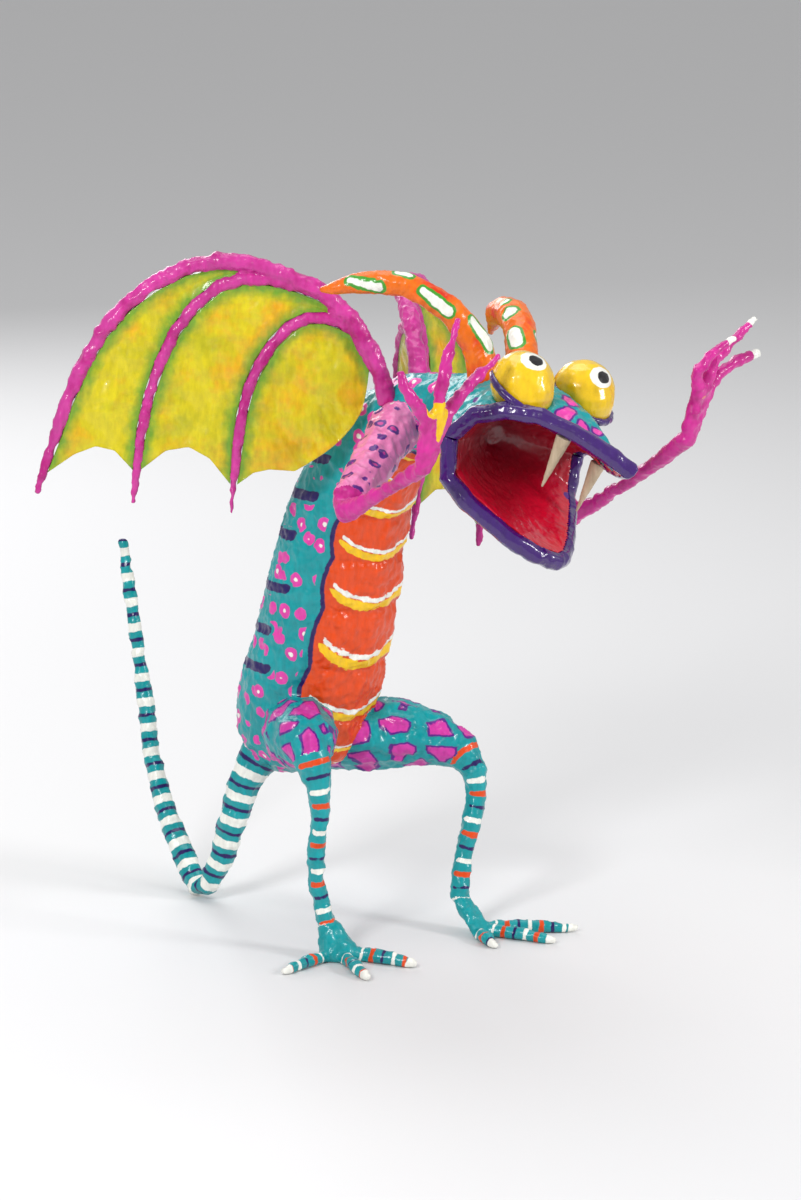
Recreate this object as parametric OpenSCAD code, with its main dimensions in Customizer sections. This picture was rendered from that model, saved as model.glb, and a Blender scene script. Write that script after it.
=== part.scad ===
// Alebrije figure: a winged, horned, frog-headed creature with a long tail.
// A wire armature and a newspaper core carry a painted papier-mache skin.
// The creature faces -Y, stands on Z = 0 and its own left side is +X.

/* [Torso] */
// Radius of the belly
belly_r = 44; // [42:1:46]
// Radius of the neck
neck_r = 22; // [20:1:23]
// Number of puffed belly plates
belly_plates = 7; // [6:1:8]

/* [Head] */
// Width of the mouth, corner to corner
mouth_w = 120; // [116:2:124]
// Length of the upper jaw from the corners of the mouth
upper_jaw_l = 92; // [88:1:96]
// Length of the lower jaw from the corners of the mouth
lower_jaw_l = 77; // [73:1:80]
// Angle between the open jaws
gape = 58; // [54:1:62]
// How far the head leans to its left
head_lean = 14; // [11:1:16]
// Radius of the rolled lip
lip_r = 6; // [5:0.5:7]
// Radius of an eyeball
eye_r = 20; // [18:0.5:21]
// Length of a wooden fang
fang_l = 34; // [28:1:38]
// Radius of a horn at its root
horn_r = 10; // [8:0.5:11]

/* [Arms and legs] */
// Radius of the upper arm at the shoulder
shoulder_r = 17; // [15:0.5:18]
// Radius of the forearm at its thinnest
forearm_r = 4; // [3.5:0.5:5]
// Radius of a finger at its root
finger_r = 4.2; // [3.5:0.1:4.6]
// Radius of the thigh at its fullest
thigh_r = 25; // [23:1:27]
// Radius of the shank at its thinnest
shank_r = 5.5; // [5:0.5:6.5]
// Radius of a toe at its root
toe_r = 4.5; // [4:0.1:4.8]

/* [Tail] */
// Radius of the tail where it leaves the body
tail_root_r = 14; // [13:0.5:15]
// Radius of the tail where it turns up from the floor
tail_bend_r = 7.5; // [7:0.5:8]

/* [Wings] */
// Radius of the leading spar
spar_r = 5.5; // [5:0.5:6]
// Radius of the inner ribs
rib_r = 4.2; // [3.8:0.2:4.6]
// Thickness of the wing membrane
membrane_t = 1.6; // [1.2:0.2:2]
// How far the left wing droops in its own plane
left_droop = 18; // [15:1:21]

/* [Wires] */
// Radius of the armature wire
wire_r = 1.5; // [1:0.25:1.75]

/* [Hidden] */
sides = [-1, 1];
x_ref = [1, 0, 0];
y_ref = [0, 1, 0];
z_ref = [0, 0, 1];

// Middle of the figure's outline on the floor, moved to the origin
stand_x = -16;
stand_y = 22.5;

// Sides of each swept form
body_n = 24;
limb_n = 10;
digit_n = 8;
wing_n = 8;
rib_rows = 12;
panel_rows = 11;
panel_cols = 4;

// Torso stations from the seat to the head: x, y, z, radius
torso_path = [
    [0, 98, 96, belly_r * 0.34],
    [0, 99, 104, belly_r * 0.68],
    [0, 98, 120, belly_r * 0.93],
    [0, 93, 142, belly_r],
    [0, 84, 170, belly_r],
    [0, 74, 202, belly_r * 0.98],
    [0, 66, 234, belly_r * 0.95],
    [0, 58, 264, belly_r * 0.9],
    [0, 48, 292, belly_r * 0.84],
    [0, 34, 318, belly_r * 0.76],
    [0, 15, 339, belly_r * 0.67],
    [0, -8, 353, neck_r * 1.2],
    [0, -32, 361, neck_r * 1.03],
    [0, -54, 365, neck_r]
];
torso_last = len(torso_path) - 1;

// Stations that the newspaper core reaches, and its radius as a share of the torso's
core_from = 4;
core_to = 8;
core_share = 0.6;

// Station where the spine wire starts
wire_from = 3;

// First and last station under the belly plates, and the gap between two of them
plates_from = 2.2;
plates_to = 10.5;
plate_gap = 0.27;

// Tail stations
tail_path = [
    [-8, 104, 124, tail_root_r * 0.8],
    [-18, 114, 108, tail_root_r],
    [-26, 120, 88, tail_root_r * 0.82],
    [-31, 126, 62, tail_root_r * 0.68],
    [-33, 134, 34, tail_root_r * 0.6],
    [-36, 145, 10, tail_bend_r],
    [-35, 157, 7, tail_bend_r],
    [-31, 175, 21, tail_bend_r * 0.98],
    [-27, 204, 52, tail_bend_r * 0.9],
    [-23, 222, 84, tail_bend_r * 0.8],
    [-20, 235, 124, tail_bend_r * 0.7],
    [-20, 245, 164, tail_bend_r * 0.62],
    [-20, 254, 200, tail_bend_r * 0.5],
    [-20, 259, 222, tail_bend_r * 0.38]
];
tail_split = 4;
tail_last = len(tail_path) - 1;

// Leg stations from the hip to the ankle, one list for each side
leg_paths = [
    [
        [-12, 84, 128, thigh_r * 0.8],
        [-27, 68, 132, thigh_r * 0.98],
        [-42, 48, 136, thigh_r * 0.92],
        [-53, 30, 137, thigh_r * 0.72],
        [-59, 17, 130, thigh_r * 0.5],
        [-58, 11, 113, shank_r * 1.5],
        [-57, 10, 94, shank_r * 1.15],
        [-57, 13, 70, shank_r],
        [-56, 13, 46, shank_r],
        [-52, 7, 22, shank_r * 1.15]
    ],
    [
        [12, 84, 118, thigh_r * 0.84],
        [29, 66, 122, thigh_r],
        [46, 47, 123, thigh_r * 0.9],
        [61, 29, 121, thigh_r * 0.7],
        [70, 15, 114, thigh_r * 0.52],
        [72, 5, 103, shank_r * 1.6],
        [71, 2, 86, shank_r * 1.25],
        [65, 0, 67, shank_r * 1.1],
        [59, 0, 47, shank_r],
        [54, -4, 22, shank_r * 1.15]
    ]
];
leg_split = 4;
leg_last = len(leg_paths[0]) - 1;

// Toe tips and the middle of each foot
foot_centres = [[-51, -2, 7], [53, -14, 7]];
toe_tips = [
    [[-103, -10, 2.5], [-69, -53, 2.5], [-25, -50, 2.5]],
    [[43, -52, 2.5], [82, -67, 2.5], [112, -55, 2.5]]
];
toe_root_gap = 13;

// Arm stations from the shoulder to the wrist
arm_paths = [
    [
        [-11, -7, 349, shoulder_r * 0.7],
        [-26, -18, 350, shoulder_r],
        [-50, -34, 343, shoulder_r * 0.86],
        [-80, -52, 332, shoulder_r * 0.78],
        [-104, -64, 322, shoulder_r * 0.66],
        [-112, -71, 317, shoulder_r * 0.42],
        [-113, -85, 324, forearm_r * 1.25],
        [-114, -108, 337, forearm_r],
        [-116, -130, 350, forearm_r * 1.2],
        [-118, -146, 359, forearm_r * 1.5]
    ],
    [
        [12, -6, 346, shoulder_r * 0.7],
        [26, -12, 342, shoulder_r],
        [48, -22, 326, shoulder_r * 0.86],
        [74, -34, 306, shoulder_r * 0.76],
        [96, -43, 288, shoulder_r * 0.66],
        [104, -50, 282, shoulder_r * 0.42],
        [106, -64, 291, forearm_r * 1.25],
        [106, -92, 309, forearm_r],
        [106, -124, 331, forearm_r * 1.2],
        [105, -147, 349, forearm_r * 1.5]
    ]
];
arm_split = 4;
arm_last = len(arm_paths[0]) - 1;

// Finger stations, three fingers on each hand, root first: x, y, z, share of finger_r
finger_paths = [
    [
        [[-123, -153, 392, 1], [-134, -153, 404, 0.95], [-140, -151, 414, 0.8], [-141, -149, 422, 0.5]],
        [[-113, -154, 397, 1], [-113, -157, 412, 0.95], [-109, -157, 430, 0.85], [-98, -153, 450, 0.5]],
        [[-103, -152, 394, 1], [-94, -154, 404, 0.95], [-80, -153, 413, 0.85], [-63, -152, 423, 0.5]]
    ],
    [
        [[106, -155, 382, 1], [102, -158, 394, 0.95], [112, -160, 405, 0.85], [130, -161, 413, 0.5]],
        [[115, -152, 383, 1], [121, -152, 397, 0.95], [136, -152, 407, 0.85], [158, -151, 421, 0.5]],
        [[123, -147, 377, 1], [132, -146, 387, 0.95], [147, -146, 393, 0.85], [166, -147, 397, 0.5]]
    ]
];
finger_count = 3;
digit_last = 3;

// Head frame: middle of the mouth, then forward, left and up
mouth_centre = [-16, -120, 348];
head_pitch = 20;
head_f = [0, -cos(head_pitch), -sin(head_pitch)];
head_l = [cos(head_lean), sin(head_lean) * sin(head_pitch), -sin(head_lean) * cos(head_pitch)];
head_u = [sin(head_lean), -cos(head_lean) * sin(head_pitch), cos(head_lean) * cos(head_pitch)];
shell_rows = 6;
mouth_corner = [-6, 5];
throat = [-26, 2, 2];
throat_r = 9;
lining_t = 2;
crown_reach = 32;
crown_r = 70;
chin_r = 34;
cheek_r = 46;
jowl_cut = 10;
mouth_r = 42;
gullet_r = 29;
// Share of the gape above the middle, narrowing of each lip to the front on the
// right and on the left, and how far the upper lip rises on the right and drops on the left
upper_share = 0.43;
upper_taper = [0.3, 0.3];
lower_taper = [0.05, 0.5];
lip_drop = [7, 13];

// Lower lids: a ring around each eyeball, lower at the front
lid_r = 2.6;
lid_steps = 14;
lid_from = -140;
lid_step = 20;
lid_ring_r = 20.5;
lid_ahead = 2.5;
lid_up = -5;
lid_dip = 4;

fang_turns = [-33, 45];
eye_centres = [[3, -31, 51], [2, 28, 51]];

// Horn stations in the head frame: forward, left, up, share of horn_r
horn_paths = [
    [
        [-36, -14, 27, 1], [-43, -17, 39, 1], [-51, -21, 49, 0.98], [-61, -29, 56, 0.92],
        [-70, -38, 62, 0.86], [-81, -48, 64, 0.8], [-93, -59, 64, 0.76], [-104, -68, 58, 0.74],
        [-113, -77, 51, 0.64], [-122, -84, 42, 0.4], [-128, -86, 37, 0.18]
    ],
    [
        [-33, 15, 33, 1], [-44, 20, 43, 1.02], [-57, 27, 50, 1.04], [-72, 35, 56, 1.06],
        [-87, 43, 57, 1.06], [-101, 51, 53, 0.95], [-113, 60, 46, 0.8], [-121, 71, 37, 0.5],
        [-128, 81, 26, 0.2]
    ]
];

// Wing curves in the wing's own plane: outward, up, share of the radius
spar_curve = [
    [0, -22, 1.2], [9, 6, 1.15], [34, 43, 1.1], [73, 63, 1], [112, 69, 1],
    [149, 54, 0.95], [178, 27, 0.9], [198, -10, 0.85], [212, -52, 0.7], [221, -82, 0.3]
];
mid_curve = [
    [45, 48, 1], [74, 57, 1], [104, 55, 1], [130, 32, 0.95], [147, -4, 0.9], [156, -44, 0.8],
    [160, -88, 0.3]
];
inner_curve = [
    [22, 25, 1], [40, 33, 1], [60, 30, 1], [78, 10, 0.95], [90, -18, 0.9], [95, -55, 0.8], [98, -94, 0.3]
];
free_edge = [[12, 8], [13, -8], [17, -28], [28, -44], [42, -56], [58, -66]];
spar_rows = 17;
spar_panel_start = 5;
scallop = [0.07, 0.08, 0.04];
wing_roots = [[-22, -6, 384], [14, 4, 376]];
wing_angles = [[37, 39], [58, -35]];
wing_bend_from = 70;
wing_scale = [1, 1.05];
wing_span = 220;

// ---- Vectors and curves ----

function xyz(s) = [s[0], s[1], s[2]];
function unit(v) = v / norm(v);
function mix(a, b, t) = a + (b - a) * t;
function reversed(a) = [for (i = [len(a) - 1 : -1 : 0]) a[i]];

// Point at parameter t, from 0 to 1, on a smooth curve through the points p
function curve_at(p, t) =
    let (
        last = len(p) - 1,
        s = min(t * last, last - 0.000001),
        i = floor(s),
        f = s - i,
        a = p[max(i - 1, 0)],
        b = p[i],
        c = p[i + 1],
        d = p[min(i + 2, last)]
    )
    b + f * (c - a) / 2 + f * f * (a - 2.5 * b + 2 * c - d / 2) + f * f * f * (3 * b - a - 3 * c + d) / 2;

function resampled(p, rows) = [for (i = [0 : rows - 1]) curve_at(p, i / (rows - 1))];

// Row at a fractional index of a list of points
function row_at(p, s) =
    let (i = min(floor(s), len(p) - 2))
    mix(p[i], p[i + 1], s - i);

// ---- Swept forms ----

function tangent(s, i) = unit(xyz(s[min(i + 1, len(s) - 1)]) - xyz(s[max(i - 1, 0)]));

// Ring i of a form swept along stations s; nothing goes below the floor
function ring(s, i, ref, n, r) =
    let (
        t = tangent(s, i),
        u = unit(cross(t, ref)),
        v = cross(u, t)
    )
    [
        for (k = [0 : n - 1])
            let (p = xyz(s[i]) + r * (cos(360 * k / n) * u + sin(360 * k / n) * v))
            [p[0], p[1], max(p[2], 0)]
    ];

function rings(s, from, to, ref, n) = [for (i = [from : to]) ring(s, i, ref, n, s[i][3])];

function bore_rings(s, from, to, ref, n) = [for (i = [from : to]) ring(s, i, ref, n, wire_r)];

// Faces of a solid through m rings of n points, the first of them point number base;
// an end cap joins opposite points
function loft_faces(n, m, base = 0) =
    let (last = base + n * (m - 1))
    [
        for (k = [0 : n / 2 - 2])
            each [
                [base + k, base + n - 2 - k, base + k + 1],
                [base + k, base + n - 1 - k, base + n - 2 - k]
            ],
        for (i = [0 : m - 2], k = [0 : n - 1])
            let (a = base + n * i + k, b = base + n * i + (k + 1) % n)
            each [[a, b, b + n], [a, b + n, a + n]],
        for (k = [0 : n / 2 - 2])
            each [
                [last + k, last + k + 1, last + n - 2 - k],
                [last + k, last + n - 2 - k, last + n - 1 - k]
            ]
    ];

module loft(rows) {
    polyhedron([for (row = rows) each row], loft_faces(len(rows[0]), len(rows)));
}

// Tube through outer rings with a bore through inner rings
module sleeve(outer, inner) {
    rows = concat(outer, reversed(inner));
    n = len(rows[0]);
    m = len(rows);
    faces = [
        for (i = [0 : m - 1], k = [0 : n - 1])
            let (
                a = n * i + k,
                b = n * i + (k + 1) % n,
                c = n * ((i + 1) % m) + (k + 1) % n,
                d = n * ((i + 1) % m) + k
            )
            each [[a, b, c], [a, c, d]]
    ];
    polyhedron([for (row = rows) each row], faces);
}

module limb(path, from, to, ref, n) {
    loft(rings(path, from, to, ref, n));
}

module wired_limb(path, from, to, ref, n) {
    sleeve(rings(path, from, to, ref, n), bore_rings(path, from, to, ref, n));
}

module ball(centre, radius, detail = 16) {
    translate(centre) sphere(r = radius, $fn = detail);
}

// ---- Torso ----

function torso_ring(i) = ring(torso_path, i, x_ref, body_n, torso_path[i][3]);

// Point on the torso at station s, turned a degrees from the middle of the belly
function belly_point(s, a, depth) =
    let (
        centre = xyz(row_at(torso_path, s)),
        ahead = xyz(row_at(torso_path, s + 0.5)),
        t = unit(ahead - centre),
        front = unit(cross(t, [-1, 0, 0])),
        radius = row_at(torso_path, s)[3] - depth
    )
    centre + radius * (cos(a) * front + [sin(a), 0, 0]);

module belly_plate(i) {
    plate_span = (plates_to - plates_from) / belly_plates;
    bottom = plates_from + i * plate_span + plate_gap / 2;
    top = bottom + plate_span - plate_gap;
    plate_r = 6;
    rise = 1.4;
    hull() {
        for (s = [bottom, top], a = [-34, 0, 34])
            ball(belly_point(s, a, plate_r - rise), plate_r, 14);
    }
}

module core_form() {
    for (i = [core_from : core_to - 1]) {
        hull() {
            ball(xyz(torso_path[i]), torso_path[i][3] * core_share);
            ball(xyz(torso_path[i + 1]), torso_path[i + 1][3] * core_share);
        }
    }
}

module limb_sockets() {
    for (side = [0, 1]) {
        limb(leg_paths[side], 0, leg_split, z_ref, limb_n);
        limb(arm_paths[side], 0, arm_split, z_ref, limb_n);
        loft(spar_rings(side, 0, 4));
    }
    limb(tail_path, 0, tail_split, x_ref, limb_n);
}

module torso() {
    color("darkturquoise")
    difference() {
        union() {
            loft([for (i = [0 : torso_last]) torso_ring(i)]);
            for (i = [0 : belly_plates - 1]) belly_plate(i);
        }
        core_form();
        limb_sockets();
        neck_bore();
    }
}

module newspaper_core() {
    color("lightgray")
    difference() {
        core_form();
        neck_bore();
    }
}

// ---- Armature wires ----

module wire(path, last, ref) {
    loft(bore_rings(path, 0, last, ref, limb_n));
}

// Bore for the spine wire, a little longer than the neck
module neck_bore() {
    bore_out = 6;
    neck_end = xyz(torso_path[torso_last]) + bore_out * tangent(torso_path, torso_last);
    path = concat(torso_path, [[each neck_end, wire_r]]);
    stations = [for (i = [wire_from : torso_last + 1]) if (i != torso_last) i];
    loft([for (i = stations) ring(path, i, x_ref, body_n, wire_r)]);
}

module spine() {
    throat_ring = [for (a = meridian_angles()) head_point(throat + wire_r * spoke(a))];
    neck_wire = [for (i = [wire_from : torso_last]) ring(torso_path, i, x_ref, body_n, wire_r)];
    loft(concat(neck_wire, [throat_ring]));
}

module spine_wire() {
    color("silver") spine();
}

module limb_wire(path, last, ref) {
    color("silver") wire(path, last, ref);
}

// ---- Head ----

function head_point(p) = mouth_centre + p[0] * head_f + p[1] * head_l + p[2] * head_u;
function meridian_angles() = [for (k = [0 : body_n - 1]) 360 * k / body_n];
function spoke(a) = [0, sin(a), cos(a)];

// Middle of the rolled lip: 0 is the snout, 90 the left corner, 180 the chin
function lip_centre(a) =
    let (
        c = cos(a),
        side = sqrt(pow(sin(a), 2) + 0.01),
        upper = c > 0,
        half = a % 360 > 0 && a % 360 < 180 ? 1 : 0,
        taper = upper ? upper_taper[half] : lower_taper[half],
        jaw_l = upper ? upper_jaw_l : lower_jaw_l,
        jaw_angle = gape * (upper ? upper_share : 1 - upper_share),
        reach = jaw_l * cos(jaw_angle) - mouth_corner[0],
        rise = jaw_l * sin(jaw_angle) - sign(c) * mouth_corner[1],
        drop = upper ? lip_drop[half] * sin(2 * a) : 0,
        ahead = upper ? pow(max(1 - side, 0) / 0.9, 0.75) : pow(abs(c), 1.4),
        upper_rise = 1 - pow(1 - abs(c), 2.1),
        lower_rise = 0.55 * (1 - pow(1 - abs(c), 6)) + 0.36 * c * c
    )
    [
        mouth_corner[0] + reach * ahead,
        mouth_w / 2 * sin(a) * (1 - taper * c * c),
        mouth_corner[1] + sign(c) * rise * (upper ? upper_rise : lower_rise) - drop
    ];

// Directions across the lip: along it, away from the mouth's axis, and back to the neck
function lip_along(a) = unit(lip_centre(a + 2) - lip_centre(a - 2));
function lip_back(a) =
    let (
        t = lip_along(a),
        raw = unit(throat - [30, 0, 0] - lip_centre(a))
    )
    unit(raw - (raw * t) * t);
function lip_out(a) = cross(lip_along(a), lip_back(a));

// Point on the lip roll at angle b: 0 faces the neck, 90 faces outward
function lip_point(a, b) =
    lip_centre(a) + lip_r * (cos(b) * lip_back(a) + sin(b) * lip_out(a));

function lip_ring(a) = [for (k = [0 : 7]) head_point(lip_point(a, 45 * k - 22.5))];

function neck_point(k) = torso_ring(torso_last)[k % body_n];
function neck_hole_point(k) = ring(torso_path, torso_last, x_ref, body_n, wire_r)[k % body_n];

// Outside of the head along meridian k, from the neck to the lip
function outer_point(k, s) =
    let (
        a = 360 * k / body_n,
        c = cos(a),
        control = head_point([
            crown_reach * c * c - 30,
            sin(a) * (cheek_r + jowl_cut * min(c, 0)),
            3 + (c > 0 ? crown_r * pow(c, 0.9) : chin_r * c)
        ]),
        rim = head_point(lip_point(a, 22.5))
    )
    mix(mix(neck_point(k), control, s), mix(control, rim, s), s);

// Wall between the head and the lining of the mouth, from the throat to the lip
function inner_point(k, s, inset) =
    let (
        a = 360 * k / body_n,
        c = cos(a),
        start = head_point(throat + [inset, 0, 0] + (throat_r - inset) * spoke(a)),
        control = head_point([
            10 * c * c - 12 + inset,
            sin(a) * (mouth_r - inset),
            3 + c * ((c > 0 ? mouth_r : gullet_r) - inset)
        ]),
        rim = head_point(lip_point(a, inset > 0 ? -67.5 : -22.5))
    )
    mix(mix(start, control, s), mix(control, rim, s), s);

// Closed section of the head wall on meridian k
function head_section(k) =
    let (
        a = 360 * k / body_n,
        outer = concat([neck_hole_point(k)], [for (i = [0 : shell_rows]) outer_point(k, i / shell_rows)]),
        bore = head_point(throat + wire_r * spoke(a)),
        inner = concat([bore], [for (i = [0 : shell_rows]) inner_point(k, i / shell_rows, 0)])
    )
    concat(outer, reversed(inner));

module head_wall(first) {
    loft([for (k = [first + body_n / 2 : -1 : first]) head_section(k + body_n)]);
}

module eyeball(side) {
    hull() {
        ball(head_point(eye_centres[side]), eye_r, 24);
        ball(head_point(eye_centres[side] + [6, 0, -3]), eye_r * 0.86, 20);
    }
}

module horn(side) {
    path = horn_paths[side];
    for (i = [0 : len(path) - 2]) {
        hull() {
            ball(head_point(path[i]), horn_r * path[i][3], 12);
            ball(head_point(path[i + 1]), horn_r * path[i + 1][3], 12);
        }
    }
}

module head_fittings() {
    for (side = [0, 1]) {
        eyeball(side);
        lid_ring(side);
        horn(side);
    }
}

module head_shell() {
    color("turquoise")
    difference() {
        head_wall(-body_n / 4);
        head_fittings();
    }
}

module lower_jaw() {
    color("darkturquoise") head_wall(body_n / 4);
}

module mouth_lining() {
    rows = concat(
        [for (i = [0 : shell_rows]) [for (k = [0 : body_n - 1]) inner_point(k, i / shell_rows, 0)]],
        [
            for (i = [shell_rows : -1 : 0])
                [for (k = [0 : body_n - 1]) inner_point(k, i / shell_rows, lining_t)]
        ]
    );
    color("crimson") loft(rows);
}

module lip(first) {
    step = 360 / body_n;
    color("indigo") loft([for (k = [body_n / 2 : -1 : 0]) lip_ring(first + k * step)]);
}

module eye(side) {
    color("gold")
    difference() {
        eyeball(side);
        horn(side);
    }
}

function lid_point(side, i) =
    let (a = lid_from + i * lid_step)
    head_point(
        eye_centres[side] +
        [lid_ahead + lid_ring_r * cos(a), sides[side] * lid_ring_r * sin(a), lid_up - lid_dip * cos(a)]
    );

module lid_ring(side) {
    for (i = [0 : lid_steps - 1]) {
        hull() {
            ball(lid_point(side, i), lid_r, 8);
            ball(lid_point(side, i + 1), lid_r, 8);
        }
    }
}

module eyelid(side) {
    color("indigo")
    difference() {
        lid_ring(side);
        eyeball(side);
    }
}

module fang(side) {
    root = lip_centre(fang_turns[side]) + [0, 0, -lip_r];
    tip = root + fang_l * unit([0.05, 0, -1]);
    down = head_point(tip) - head_point(root);
    color("wheat")
    translate(head_point(root))
    rotate([0, acos(down[2] / fang_l), atan2(down[1], down[0])])
    cylinder(h = fang_l, r1 = 5, r2 = 0.6, $fn = 24);
}

// ---- Arms and hands ----

module upper_arm(side) {
    color("hotpink") wired_limb(arm_paths[side], 0, arm_split, z_ref, limb_n);
}

module forearm(side) {
    color("deeppink") wired_limb(arm_paths[side], arm_split, arm_last, z_ref, limb_n);
}

function finger_stations(side, i) =
    [for (s = finger_paths[side][i]) [s[0], s[1], s[2], s[3] * finger_r]];

function root_stub(stations, ref) =
    let (
        root = ring(stations, 0, ref, digit_n, stations[0][3]),
        into = 1.5 * tangent(stations, 0),
        centre = xyz(stations[0])
    )
    [[for (p = root) mix(p, centre, 0.2) - into], root];

module finger(side, i) {
    color("deeppink") limb(finger_stations(side, i), 0, digit_last, y_ref, digit_n);
}

module palm(side) {
    path = arm_paths[side];
    wrist = ring(path, arm_last, z_ref, limb_n, path[arm_last][3]);
    into = 1.5 * tangent(path, arm_last);
    color("deeppink")
    hull() {
        loft([wrist, [for (p = wrist) mix(p, xyz(path[arm_last]), 0.2) + into]]);
        for (i = [0 : finger_count - 1]) loft(root_stub(finger_stations(side, i), y_ref));
    }
}

// ---- Legs and feet ----

module thigh(side) {
    color("mediumorchid") wired_limb(leg_paths[side], 0, leg_split, z_ref, limb_n);
}

module shank(side) {
    color("darkturquoise") wired_limb(leg_paths[side], leg_split, leg_last, y_ref, limb_n);
}

function toe_stations(side, i) =
    let (
        tip = toe_tips[side][i],
        centre = foot_centres[side],
        way = unit([tip[0] - centre[0], tip[1] - centre[1], 0]),
        root = [centre[0], centre[1], toe_r * 0.9] + toe_root_gap * way,
        middle = mix(root, tip, 0.55)
    )
    [
        [each root, toe_r],
        [middle[0], middle[1], toe_r * 0.95, toe_r],
        [each mix(middle, tip, 0.7), toe_r * 0.8],
        [each tip, toe_r * 0.45]
    ];

module toe(side, i) {
    color("darkturquoise") limb(toe_stations(side, i), 0, digit_last, z_ref, digit_n);
}

module foot(side) {
    path = leg_paths[side];
    ankle = ring(path, leg_last, y_ref, limb_n, path[leg_last][3]);
    into = 1.5 * tangent(path, leg_last);
    color("darkturquoise")
    hull() {
        loft([ankle, [for (p = ankle) mix(p, xyz(path[leg_last]), 0.2) + into]]);
        for (i = [0 : finger_count - 1]) loft(root_stub(toe_stations(side, i), z_ref));
    }
}

// ---- Tail ----

module tail_root() {
    color("darkturquoise") wired_limb(tail_path, 0, tail_split, x_ref, limb_n);
}

module tail_whip() {
    color("teal") wired_limb(tail_path, tail_split, tail_last, x_ref, limb_n);
}

// ---- Wings ----

// The wing's plane is straight near the body and then turns to its last heading,
// so that a wing can be cupped
function wing_turn(side) =
    (wing_angles[side][1] - wing_angles[side][0]) / (wing_span - wing_bend_from);

function heading(side, u) = wing_angles[side][0] + wing_turn(side) * max(u - wing_bend_from, 0);

function wing_frame_point(side, u, v) =
    let (
        first = wing_angles[side][0],
        last = heading(side, u),
        straight = min(u, wing_bend_from),
        bend_r = 180 / PI / wing_turn(side),
        out = straight * cos(first) + bend_r * (sin(last) - sin(first)),
        back = straight * sin(first) + bend_r * (cos(first) - cos(last))
    )
    wing_roots[side] + [sides[side] * out, back, v];

function drooped(side, p) =
    let (a = side == 1 ? left_droop : 0, k = wing_scale[side])
    k * [p[0] * cos(a) + p[1] * sin(a), p[1] * cos(a) - p[0] * sin(a)];

function wing_point(side, p) =
    let (q = drooped(side, p))
    wing_frame_point(side, q[0], q[1]);

function wing_normal(side, p) =
    let (h = heading(side, drooped(side, p)[0]))
    [-sides[side] * sin(h), cos(h), 0];

// Ring of a wing rib: its faces 0 and 4 look along the membrane, to the right and the left
function rib_ring(side, curve, i, r) =
    let (
        here = curve[i],
        t = unit(
            wing_point(side, curve[min(i + 1, len(curve) - 1)]) -
            wing_point(side, curve[max(i - 1, 0)])
        ),
        normal = sides[side] * wing_normal(side, here),
        across = cross(normal, t),
        up = cross(t, across)
    )
    [
        for (k = [0 : wing_n - 1])
            wing_point(side, here) +
            r * (cos(45 * k + 22.5) * across - sin(45 * k + 22.5) * up)
    ];

function spar_stations() = resampled(spar_curve, spar_rows);
function mid_stations() = resampled(mid_curve, rib_rows);
function inner_stations() = resampled(inner_curve, rib_rows);

function rib_rings(side, curve, base_r, from, to) =
    [for (i = [from : to]) rib_ring(side, curve, i, base_r * curve[i][2])];

function spar_rings(side, from, to) = rib_rings(side, spar_stations(), spar_r, from, to);

module wing_spar(side) {
    curve = spar_stations();
    bore = [for (i = [spar_rows - 2 : -1 : 0]) rib_ring(side, curve, i, wire_r)];
    color("magenta") loft(concat(bore, spar_rings(side, 0, spar_rows - 1)));
}

module wing_wire(side) {
    curve = spar_stations();
    color("silver") loft([for (i = [0 : spar_rows - 2]) rib_ring(side, curve, i, wire_r)]);
}

module wing_rib(side, curve) {
    color("magenta") loft(rib_rings(side, curve, rib_r, 0, rib_rows - 1));
}

// Rows of a sheet between two edges; each edge row is a pair of points, back and front
function panel(left_rows, right_rows, sag) =
    [
        for (j = [0 : panel_rows - 1])
            [
                for (i = [0 : panel_cols])
                    panel_point(left_rows, right_rows, j, i / panel_cols, sag, 0),
                for (i = [panel_cols : -1 : 0])
                    panel_point(left_rows, right_rows, j, i / panel_cols, sag, 1)
            ]
    ];

function panel_point(left_rows, right_rows, j, x, sag, face) =
    let (
        bow = 4 * x * (1 - x),
        row = j * (1 - sag * bow),
        a = row_at(left_rows, row),
        b = row_at(right_rows, row),
        front = mix(a[0], b[0], x),
        back = mix(a[1], b[1], x),
        middle = (front + back) / 2,
        half = unit(front - back) * membrane_t / 2,
        thin = face == 0 ? middle + half : middle - half
    )
    mix(face == 0 ? front : back, thin, min(1, 3 * bow));

// Points of each ring, back and front, where a membrane leaves a rib and where it meets the next
function leaving(rows) = [for (row = rows) [row[7], row[0]]];
function meeting(rows) = [for (row = rows) [row[4], row[3]]];

function free_edge_pairs(side) =
    [
        for (j = [0 : panel_rows - 1])
            let (
                p = curve_at(free_edge, j / (panel_rows - 1)),
                half = sides[side] * wing_normal(side, p) * membrane_t / 2
            )
            [wing_point(side, p) + half, wing_point(side, p) - half]
    ];

module wing_membrane(side) {
    spar = spar_rings(side, spar_panel_start, spar_panel_start + panel_rows - 1);
    middle = rib_rings(side, mid_stations(), rib_r, 0, panel_rows - 1);
    inner = rib_rings(side, inner_stations(), rib_r, 0, panel_rows - 1);
    panels = [
        panel(leaving(spar), meeting(middle), scallop[0]),
        panel(leaving(middle), meeting(inner), scallop[1]),
        panel(leaving(inner), free_edge_pairs(side), scallop[2])
    ];
    row_n = 2 * panel_cols + 2;
    color("yellow")
    polyhedron(
        [for (rows = panels, row = rows) each row],
        [for (i = [0 : 2]) each reversed(loft_faces(row_n, panel_rows, i * row_n * panel_rows))]
    );
}

// Moves the figure so that the middle of its outline stands on the origin
module stand() {
    translate([-stand_x, -stand_y, 0]) children();
}

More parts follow.
